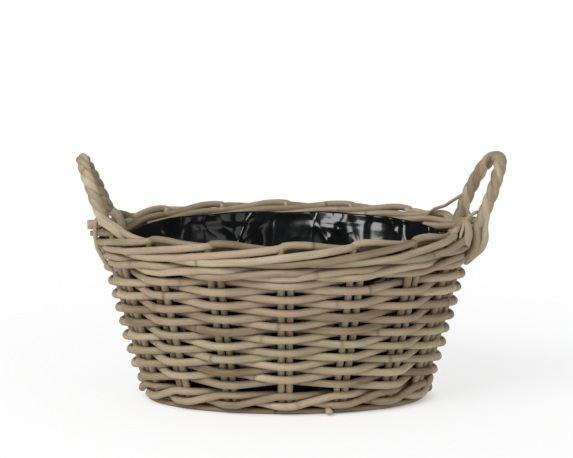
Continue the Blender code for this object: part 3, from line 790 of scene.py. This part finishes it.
def cane(name, path, diameter, paint, seed, sides=CANE_SIDES, waviness=WAVINESS, hue=None):
    """Length of cane: a circle carried along the path. Its radius drifts by a few hundredths,
    swells at each knot as a bell curve, and draws in over the last rings at both cut ends.
    The path itself drifts sideways by the waviness, and the grain attribute straightens the rod."""
    rng = np.random.default_rng(seed)
    aside, across = carried_frames(path)
    run = run_along(path)
    length = run[-1]
    count = len(path)
    ease = np.clip(np.minimum(run, length - run) / EASE_LENGTH, 0, 1)
    path = path + aside * (drift(rng, length, ASIDE_WAVE, count) * waviness * ease)[:, None]
    path = path + across * (drift(rng, length, ACROSS_WAVE, count) * waviness * ease)[:, None]
    knots = np.arange(rng.uniform(0, KNOT_APART), length, KNOT_APART) + rng.uniform(-KNOT_SHIFT, KNOT_SHIFT)
    apart = np.abs(run[:, None] - knots[None]).min(axis=1, initial=NO_KNOT_DISTANCE)
    knot = np.exp(-((apart / GROOVE_LENGTH) ** 2))
    swell = np.exp(-((apart / SWELL_LENGTH) ** 2))
    uneven = RADIUS_DRIFT_SHARE * drift(rng, length, RADIUS_WAVE, count)
    radius = diameter / 2 * (1 + uneven + SWELL_SHARE * swell - GROOVE_SHARE * knot)
    radius[:2] *= CUT_END_SHARES
    radius[-2:] *= CUT_END_SHARES[::-1]
    turn = TAU * np.arange(sides) / sides
    cos, sin = np.cos(turn), np.sin(turn)
    oblong = 1 + OBLONG_SHARE * np.cos(2 * (turn - rng.uniform(0, TAU)))
    ring = aside[:, None] * cos[:, None] + across[:, None] * sin[:, None]
    places = path[:, None] + ring * (radius[:, None] * oblong)[..., None]
    grain = np.stack([np.repeat(run[:, None], sides, 1), radius[:, None] * cos, radius[:, None] * sin], -1)
    grain += rng.uniform(0, GRAIN_SHIFT, 3)
    places = places.reshape(-1, 3) + (MIDDLE_X, 0, 0)
    places[:, 2] = np.maximum(places[:, 2], 0)
    faces = grid_faces(count, sides).tolist()
    faces.append(list(range(sides))[::-1])
    faces.append(list(range((count - 1) * sides, count * sides)))
    tone = rng.uniform(0, 1)
    hue = rng.uniform(0, 1) if hue is None else hue
    cut = np.zeros(count)
    cut[[0, -1]] = 1
    return mesh_piece(
        name, places, faces, paint, grain=grain.reshape(-1, 3), knot=np.repeat(knot, sides),
        tone=np.full(count * sides, tone), hue=np.full(count * sides, hue), cut=np.repeat(cut, sides))


def film_top(index, rng):
    """Height of the film's rim: a dip at each handle as a bell curve, and sines that run a few
    times round the basket, each turned at random."""
    from_handle = np.abs((index + QUARTER) % HALF - QUARTER) - QUARTER
    near_handle = np.exp(-((from_handle / HANDLE_DIP_PAIRS) ** 2))
    sway = np.zeros(len(index))
    for turns in RIM_SWAY_TURNS:
        sway += RIM_SWAY / len(RIM_SWAY_TURNS) * np.sin(TAU * turns * index / PAIRS + rng.uniform(0, TAU))
    return TOP_REACH_Z - RIM_DROP + sway - near_handle * HANDLE_DIP


def film_folds(places, rng):
    """Height of the folds: zigzag waves in random directions, each raised to its sharpness,
    with a phase that a sine in another direction bends."""
    folds = np.zeros(places.shape[:2])
    for size, wave, count, sharpness in FOLD_WAVES:
        for _ in range(count):
            way = unit(rng.normal(size=3) * (1, 1, FOLD_RISE_SHARE))
            swing = places @ rng.normal(size=3) / (FOLD_REACH_SHARE * wave) + rng.uniform(0, TAU)
            phase = places @ way / wave + rng.uniform(0, 1) + FOLD_BEND_SHARE * np.sin(swing)
            folds += size / count * np.abs(2 * (phase - np.floor(phase)) - 1) ** sharpness
    return folds


def film_places():
    """Rows of the film from the middle of its floor to its rim: the floor is its own edge drawn
    in by a share, its middle raised over the crossing rods to the solid liner's floor, and the
    wall runs just inside the weavers. The folds lift the floor and move the wall inwards."""
    rng = np.random.default_rng(FILM_SEED)
    index = PAIRS * np.arange(FILM_AROUND) / FILM_AROUND
    clear = STAKE_R + WEAVER_R + TOUCH_GAP
    pairs = np.arange(PAIRS)
    low, high = (
        float(inside_pass(pairs, height, clear).max()) + WEAVER_R + TOUCH_GAP
        for height in (FIRST_ROW_Z, LAST_ROW_Z))
    bottom, hem = FILM_FLOOR_Z, float(LINER_HIGH[2])
    rise = np.linspace(0, 1, FILM_ROWS)[:, None]
    height = bottom + (film_top(index, rng)[None] - bottom) * rise
    part = np.clip((height - bottom) / (hem - bottom), 0, 1)
    above = np.clip((height - hem) / (TOP_REACH_Z - hem), 0, 1)
    wall = spot(index[None], height, 0.0, -(low + (high - low) * part) + RIM_RETURN * above)
    share = np.linspace(FLOOR_START_SHARE, 1, FILM_FLOOR_ROWS, endpoint=False)[:, None, None]
    raised = np.clip(2 - 2 * share, 0, 1) * (float(LINER_LOW[2]) - bottom)
    floor = wall[0] * share * (1, 1, 0) + (0, 0, bottom) + raised * UP
    places = np.concatenate([floor, wall])
    folds = film_folds(places, rng)
    _, _, out_dir = station(index, hem)
    inwards = (folds[FILM_FLOOR_ROWS:] + FOLD_DEPTH) * (1 - RIM_CALM_SHARE * above)
    places[FILM_FLOOR_ROWS:] -= out_dir[None] * inwards[..., None]
    places[:FILM_FLOOR_ROWS, :, 2] += folds[:FILM_FLOOR_ROWS]
    return places


# materials

def feed(tree, entry, value):
    """Links a socket to a node's input, or sets the input to a plain value."""
    if isinstance(value, Socket):
        tree.links.new(value.link, entry)
    else:
        entry.default_value = value


class Socket:
    """One output of a node, on which sums, products and powers add Math nodes."""

    def __init__(self, tree, link):
        self.tree = tree
        self.link = link

    def maths(self, operation, *others):
        node = self.tree.nodes.new("ShaderNodeMath")
        node.operation = operation
        for entry, value in zip(node.inputs, others or (self,)):
            feed(self.tree, entry, value)
        return Socket(self.tree, node.outputs[0])

    def __add__(self, other):
        return self.maths("ADD", self, other)

    __radd__ = __add__

    def __sub__(self, other):
        return self.maths("SUBTRACT", self, other)

    def __rsub__(self, other):
        return self.maths("SUBTRACT", other, self)

    def __mul__(self, other):
        return self.maths("MULTIPLY", self, other)

    __rmul__ = __mul__

    def __pow__(self, other):
        return self.maths("POWER", self, other)


class Paint:
    """A material under construction: node() adds any node from its type, settings and inputs."""

    def __init__(self, name):
        self.material = bpy.data.materials.new(name)
        self.material.use_nodes = True
        self.tree = self.material.node_tree
        self.shader = self.tree.nodes["Principled BSDF"]

    def node(self, kind, output=0, settings=(), **inputs):
        """Inputs are given by name, or by number after an i."""
        made = self.tree.nodes.new(kind)
        for title, value in dict(settings).items():
            setattr(made, title, value)
        for title, value in inputs.items():
            key = int(title[1:]) if title[1:].isdigit() else title.replace("_", " ")
            feed(self.tree, made.inputs[key], value)
        return Socket(self.tree, made.outputs[output])

    def mix(self, share, base, cover):
        """Base colour, covered by a share of another."""
        return self.node("ShaderNodeMix", 2, {"data_type": "RGBA"}, i0=share, i6=base, i7=colour(*cover))

    def ramp(self, value, ends=(0.0, 1.0)):
        """Share of the way from one end to the other at which the value stands, held to 0 to 1."""
        return self.node("ShaderNodeMapRange", 0, Value=value, i1=ends[0], i2=ends[1])

    def set(self, **inputs):
        """Feeds the shader's inputs by name."""
        for title, value in inputs.items():
            feed(self.tree, self.shader.inputs[title.replace("_", " ")], value)

    def noise(self, place, waves, detail, roughness, distortion=0.0):
        """Noise with its own waves in a metre along each axis: fewer of them draw it out."""
        scaled = self.node("ShaderNodeMapping", 0, Vector=place, Scale=waves)
        return self.node("ShaderNodeTexNoise", 0, Vector=scaled, Scale=1.0, Detail=detail,
                         Roughness=roughness, Distortion=distortion)


def colour(red, green, blue):
    """Colour with full opacity for a node's socket."""
    return (red, green, blue, 1.0)


def rattan(name, light, dark, warm):
    """Weathered cane: fibres, blotches and specks along the rod, a tone and a hue for each rod,
    brown rings at the knots, and paler cut ends."""
    paint = Paint(name)
    grain = paint.node("ShaderNodeAttribute", 1, {"attribute_name": "grain"})
    tone, hue, knot, cut = (
        paint.node("ShaderNodeAttribute", 2, {"attribute_name": title})
        for title in ("tone", "hue", "knot", "cut"))
    fibre, blotch, dirt, slow = (
        paint.noise(grain, *recipe) for recipe in (FIBRES, BLOTCHES, DIRT, SLOW_DRIFT))
    summed = tone * TONE_SHARE + blotch * BLOTCH_SHARE + slow * SLOW_SHARE + fibre * FIBRE_SHARE
    base = paint.mix(paint.ramp(summed - DARKENED_SHARE), colour(*dark), light)
    for share, cover in (
            (paint.ramp(hue, WARM_HUES) * WARM_SHARE, warm),
            (paint.ramp(hue, OLIVE_HUES) * OLIVE_SHARE, OLIVE_CANE),
            (paint.ramp(dirt, DIRT_RANGE) * DIRT_SHARE, SPECKS),
            (knot * KNOT_SHARE, KNOTS),
            (cut * CUT_SHARE, CUT_ENDS)):
        base = paint.mix(share, base, cover)
    height = fibre * FIBRE_RISE_SHARE + blotch * BLOTCH_RISE_SHARE - knot * KNOT_DROP_SHARE
    bump = paint.node("ShaderNodeBump", 0, Height=height, Strength=CANE_BUMP_SHARE, Distance=CANE_RELIEF)
    paint.set(Base_Color=base, Roughness=CANE_ROUGHNESS + fibre * FIBRE_ROUGHNESS, Normal=bump)
    return paint.material


def film_paint():
    """Glossy black film with patches of dust. Its fine creases are the ridges of two noises: one
    less the distance from the noise's middle value, raised to a sharpness."""
    paint = Paint("black_film_finish")
    place = paint.node("ShaderNodeTexCoord", 3)
    share = paint.ramp(paint.noise(place, *DUST), DUST_RANGE)
    base = paint.mix(share, colour(*BLACK_FILM), FILM_DUST)
    creases = 0.0
    for *recipe, sharpness, height in CREASES:
        ridge = (1.0 - (paint.noise(place, *recipe) * 2.0 - 1.0).maths("ABSOLUTE")) ** sharpness
        creases = ridge * height + creases
    bump = paint.node("ShaderNodeBump", 0, Height=creases, Strength=FILM_BUMP_SHARE, Distance=FILM_RELIEF)
    paint.set(
        Base_Color=base, Roughness=FILM_ROUGHNESS + share * DUST_ROUGHNESS, Normal=bump, IOR=FILM_IOR)
    return paint.material


def floor_paint():
    """White paper floor that takes the shadow near the basket and glows white further out, but
    only to the camera and not under the basket."""
    paint = Paint("white_floor")
    paint.set(Base_Color=colour(*PAPER), Roughness=PAPER_ROUGHNESS, Specular_IOR_Level=0.0)
    rays = paint.node("ShaderNodeLightPath", 0)
    place = paint.node("ShaderNodeTexCoord", 3)
    far = paint.node("ShaderNodeVectorMath", 1, {"operation": "LENGTH"}, i0=place)
    share = paint.node("ShaderNodeMapRange", 0, {"interpolation_type": "SMOOTHSTEP"}, Value=far,
                       i1=FADE_START, i2=FADE_END, i3=FADE_START_SHARE, i4=1.0)
    foot = paint.node(
        "ShaderNodeVectorMath", 0, {"operation": "MULTIPLY"}, i0=place, i1=(1, UNDER_ROUND_SHARE, 1))
    beside = paint.node("ShaderNodeVectorMath", 1, {"operation": "LENGTH"}, i0=foot)
    clear = paint.ramp(beside, (UNDER_START, UNDER_END))
    glow = paint.node("ShaderNodeEmission", 0, Color=colour(*WHITE), Strength=1.0)
    lit = Socket(paint.tree, paint.shader.outputs[0])
    mixed = paint.node("ShaderNodeMixShader", 0, i0=rays * share * clear, i1=lit, i2=glow)
    feed(paint.tree, paint.tree.nodes["Material Output"].inputs["Surface"], mixed)
    return paint.material


# sizes and colours that a user would change

class BasketFinish(bpy.types.PropertyGroup):
    light: bpy.props.FloatVectorProperty(
        name="Light cane", description="Lightest colour of the cane", subtype="COLOR",
        default=(0.545, 0.455, 0.31), min=0, max=1)
    dark: bpy.props.FloatVectorProperty(
        name="Dark cane", description="Darkest colour of the cane", subtype="COLOR",
        default=(0.170, 0.117, 0.060), min=0, max=1)
    warm: bpy.props.FloatVectorProperty(
        name="Warm cane", description="Colour of the pinker rods", subtype="COLOR",
        default=(0.41, 0.295, 0.205), min=0, max=1)
    ring_step: bpy.props.FloatProperty(
        name="Ring step", description="Distance between rings along a rod", default=0.0025, unit="LENGTH")


class StageSizes(bpy.types.PropertyGroup):
    key_power: bpy.props.FloatProperty(
        name="Key light", description="Power of the soft light at the upper left", default=44.0,
        unit="POWER")
    fill_power: bpy.props.FloatProperty(
        name="Fill light", description="Power of the soft light at the right", default=7.0, unit="POWER")
    sky: bpy.props.FloatProperty(
        name="Room light", description="Strength of the even light from all round", default=0.64)


def on_basket(name, path, diameter, paint, seed, soft, **words):
    """Cane on the basket's one body, in the slot of its finish."""
    step = bpy.context.scene.basket_finish.ring_step
    piece = cane(name, smooth(np.array(path), step, soft), diameter, paint, seed, **words)
    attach(piece, "root")
    return piece


def woven(node, path, diameter, paint, seed, soft=WEAVER_SOFT, **words):
    """Cane that stands for one solid rod."""
    piece = on_basket(f"{node}_cane", path, diameter, paint, seed, soft, **words)
    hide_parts(node)


def extra(name, path, diameter, paint, seed, **words):
    """Cane that only the finish shows."""
    on_basket(name, path, diameter, paint, seed, HANDLE_SOFT, waviness=0.0, **words)


def paints():
    """The two cane finishes, made once."""
    finish = bpy.context.scene.basket_finish
    kubu = bpy.data.materials.get("kubu_cane") or rattan(
        "kubu_cane", finish.light, finish.dark, finish.warm)
    pale = bpy.data.materials.get("pale_cane") or rattan(
        "pale_cane", [min(1, part * PALE_SHARE) for part in finish.light], finish.dark, finish.warm)
    return kubu, pale


class BASKET_OT_stakes(bpy.types.Operator):
    """Sixteen bent rods whose ends make the stakes and the plaited border."""
    bl_idname = "basket.stakes"
    bl_label = "Stakes and border"

    def execute(self, context):
        kubu, _ = paints()
        rods = []
        for index in range(-2, 3):
            rods += [(index, HALF - index), (HALF - index, index)]
        for index in range(QUARTER - 1, QUARTER + 2):
            rods += [(index, PAIRS - index), (PAIRS - index, index)]
        for index, opposite in rods:
            kind = "cross" if across_front_to_back(index) else "long"
            node = f"{kind}_stake_{index % PAIRS:02d}"
            woven(node, stake_path(index, opposite), STAKE_DIA * STAKE_SHOWN_SHARE, kubu,
                  STAKE_SEED + index % PAIRS, soft=STAKE_SOFT)
        return {"FINISHED"}


class BASKET_OT_weavers(bpy.types.Operator):
    """Two weavers in four lengths each, spiralling up the wall."""
    bl_idname = "basket.weavers"
    bl_label = "Weavers"

    def execute(self, context):
        kubu, pale = paints()
        per_rod = PAIRS * TURNS_PER_WEAVER
        thick = WEAVER_DIA * WEAVER_SHOWN_SHARE
        for number in range(WEAVER_RODS):
            for letter, first, zero, paint, seed in (
                    ("a", 1, 0, kubu, WEAVER_A_SEED), ("b", HALF, HALF, pale, WEAVER_B_SEED)):
                path = weaver_path(first, first + number * per_rod, zero)
                woven(f"weaver_{letter}_{number + 1}", path, thick, paint, seed + number)
        return {"FINISHED"}


class BASKET_OT_wales(bpy.types.Operator):
    """Three-rod wales below the border and round the foot, and the ring that stands on the ground."""
    bl_idname = "basket.wales"
    bl_label = "Wales"

    def execute(self, context):
        kubu, pale = paints()
        for number in range(WALE_RODS):
            woven(f"top_wale_{number + 1}", top_wale_path(HALF + number),
                  TOP_WALE_DIA * WALE_SHOWN_SHARE, pale, TOP_WALE_SEED + number)
            woven(f"foot_wale_{number + 1}", foot_wale_path(HALF + number),
                  FOOT_WALE_DIA * WALE_SHOWN_SHARE, pale, FOOT_WALE_SEED + number, waviness=0.0)
        extra("foot_ring", foot_ring_path(), FOOT_WALE_DIA, kubu, FOOT_RING_SEED)
        return {"FINISHED"}


class BASKET_OT_base(bpy.types.Operator):
    """Two thin weavers that hold the crossing rods of the base."""
    bl_idname = "basket.base"
    bl_label = "Base weavers"

    def execute(self, context):
        for number, (first, paint) in enumerate(zip((1, HALF), paints())):
            woven(f"base_weaver_{number + 1}", base_weaver_path(first), BASE_WEAVER_DIA, paint,
                  BASE_WEAVER_SEED + number, waviness=0.0)
        return {"FINISHED"}


class BASKET_OT_handles(bpy.types.Operator):
    """Roped handles of three strands, the right one standing askew."""
    bl_idname = "basket.handles"
    bl_label = "Handles"

    def execute(self, context):
        kubu, _ = paints()
        right = handle_paths(
            QUARTER, (RIGHT_FRONT_FOOT_OUT, FOOT_OUT), (RIGHT_FRONT_FOOT, RIGHT_BACK_FOOT), RIGHT_LEAN,
            RIGHT_CURL_SHARE, RIGHT_FULLNESS_SHARE, HANDLE_RISE * RIGHT_RISE_SHARE)
        left = handle_paths(
            PAIRS - QUARTER, (FOOT_OUT, FOOT_OUT), (LEFT_BACK_FOOT, LEFT_FRONT_FOOT), LEFT_LEAN,
            LEFT_CURL_SHARE, LEFT_FULLNESS_SHARE, HANDLE_RISE)
        thick = HANDLE_STRAND_DIA * HANDLE_SHOWN_SHARE
        for side, paths, seed in (("right", right, RIGHT_HANDLE_SEED), ("left", left, LEFT_HANDLE_SEED)):
            for number, path in enumerate(paths):
                woven(f"{side}_handle_strand_{number + 1}", path, thick, kubu, seed + number,
                      soft=HANDLE_SOFT, waviness=0.0, sides=ROUND_SIDES, hue=HANDLE_HUE)
        return {"FINISHED"}


class BASKET_OT_trimmings(bpy.types.Operator):
    """Cut rod ends beside the left handle and in the foot, and the ties at the handles' feet."""
    bl_idname = "basket.trimmings"
    bl_label = "Rod ends and ties"

    def execute(self, context):
        kubu, pale = paints()
        for number, (index, height, out, length, thickness) in enumerate(ROD_ENDS):
            ends = [spot(index, height, 0, out - length), spot(index, height, 0, out)]
            extra(f"rod_end_{number + 1}", ends, thickness, kubu, ROD_END_SEED + number,
                  sides=ROUND_SIDES, hue=CUT_END_HUE)
        for number, (finish, thickness, points) in enumerate(TIES):
            path = [spot(index, height, 0, out) for index, height, out in points]
            paint = pale if finish == "pale" else kubu
            extra(f"tie_{number + 1}", path, thickness, paint, TIE_SEED + number)
        return {"FINISHED"}


class BASKET_OT_liner(bpy.types.Operator):
    """Crumpled black film that lines the inside, its rim tucked behind the border."""
    bl_idname = "basket.liner"
    bl_label = "Film liner"

    def execute(self, context):
        places = film_places()
        faces = grid_faces(len(places), FILM_AROUND)[:, ::-1].tolist()
        faces.append(list(range(FILM_AROUND)))
        places = places.reshape(-1, 3) + (MIDDLE_X, 0, FILM_THICKNESS)
        piece = mesh_piece("crumpled_film", places, faces, film_paint())
        skin = piece.modifiers.new("film", "SOLIDIFY")
        skin.thickness = FILM_THICKNESS
        skin.offset = -1
        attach(piece, "root")
        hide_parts("film_liner")
        return {"FINISHED"}


def soft_light(name, place, size, power):
    """Square lamp that faces the middle of the basket."""
    lamp = bpy.data.lights.new(name, "AREA")
    lamp.shape = "SQUARE"
    lamp.size = size
    lamp.energy = power
    thing = linked(name, lamp)
    thing.location = place
    aim = np.subtract(LAMP_TARGET, place)
    level = math.hypot(aim[0], aim[1])
    thing.rotation_euler = (math.pi / 2 + math.atan2(aim[2], level), 0, math.atan2(-aim[0], aim[1]))


class BASKET_OT_stage(bpy.types.Operator):
    """White floor, soft lamps, even room light and the camera."""
    bl_idname = "basket.stage"
    bl_label = "Stage"

    def execute(self, context):
        sizes = context.scene.basket_stage
        corners = [(x * FLOOR_REACH, y * FLOOR_REACH, 0) for x, y in ((-1, -1), (1, -1), (1, 1), (-1, 1))]
        floor = mesh_piece("floor", corners, [(0, 1, 2, 3)], floor_paint())
        soft_light("key", KEY_PLACE, KEY_SIZE, sizes.key_power)
        soft_light("fill", FILL_PLACE, FILL_SIZE, sizes.fill_power)
        self.world(sizes.sky)
        self.camera()
        context.scene.view_settings.view_transform = "Standard"
        return {"FINISHED"}

    def world(self, strength):
        """Even room light, dimmed in what glossy faces mirror, and white behind the basket."""
        world = bpy.data.worlds.new("room")
        world.use_nodes = True
        bpy.context.scene.world = world
        tree = world.node_tree
        rays = tree.nodes.new("ShaderNodeLightPath")
        glossy, seen = (Socket(tree, rays.outputs[f"Is {kind} Ray"]) for kind in ("Glossy", "Camera"))
        dimmed = strength - glossy * (strength * (1 - GLOSS_SHARE))
        back = tree.nodes["Background"]
        feed(tree, back.inputs["Color"], colour(*WHITE))
        feed(tree, back.inputs["Strength"], dimmed + seen * (1.0 - dimmed))

    def camera(self):
        """Camera on the basket's middle line, turned so that the target falls on its pixel."""
        lens = bpy.data.cameras.new("camera")
        lens.sensor_width = SENSOR_WIDTH_MM
        focal_px = CAMERA_DISTANCE / MM
        lens.lens = focal_px / IMAGE_WIDTH_PX * SENSOR_WIDTH_MM
        thing = linked("camera", lens)
        bpy.context.scene.camera = thing
        lift = math.atan((TARGET_PX[1] - IMAGE_HEIGHT_PX / 2) / focal_px)
        aside = math.atan((IMAGE_WIDTH_PX / 2 - TARGET_PX[0]) / focal_px)
        thing.location = (
            MIDDLE_X, -CAMERA_DISTANCE * math.cos(CAMERA_ELEVATION),
            CAMERA_TARGET_Z + CAMERA_DISTANCE * math.sin(CAMERA_ELEVATION))
        thing.rotation_euler = (math.pi / 2 - CAMERA_ELEVATION + lift, 0, -aside)


class BASKET_PT_panel(bpy.types.Panel):
    """Lists the pieces of the basket in the sidebar."""
    bl_idname = "BASKET_PT_panel"
    bl_label = "Rattan planter basket"
    bl_space_type = "VIEW_3D"
    bl_region_type = "UI"
    bl_category = "Basket"

    def draw(self, context):
        for title in ("light", "dark", "warm", "ring_step"):
            self.layout.prop(context.scene.basket_finish, title)
        for title in ("key_power", "fill_power", "sky"):
            self.layout.prop(context.scene.basket_stage, title)
        for operator in OPERATORS:
            self.layout.operator(operator.bl_idname)


OPERATORS = (
    BASKET_OT_stage, BASKET_OT_liner, BASKET_OT_base, BASKET_OT_stakes, BASKET_OT_weavers, BASKET_OT_wales,
    BASKET_OT_handles, BASKET_OT_trimmings,
)
CLASSES = (BasketFinish, StageSizes, *OPERATORS, BASKET_PT_panel)


def register():
    for thing in CLASSES:
        bpy.utils.register_class(thing)
    bpy.types.Scene.basket_finish = bpy.props.PointerProperty(type=BasketFinish)
    bpy.types.Scene.basket_stage = bpy.props.PointerProperty(type=StageSizes)


def unregister():
    del bpy.types.Scene.basket_stage
    del bpy.types.Scene.basket_finish
    for thing in reversed(CLASSES):
        bpy.utils.unregister_class(thing)


def main():
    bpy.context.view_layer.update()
    register()
    bpy.ops.basket.stage()
    bpy.ops.basket.liner()
    bpy.ops.basket.base()
    bpy.ops.basket.stakes()
    bpy.ops.basket.weavers()
    bpy.ops.basket.wales()
    bpy.ops.basket.handles()
    bpy.ops.basket.trimmings()


if __name__ == "__main__":
    main()
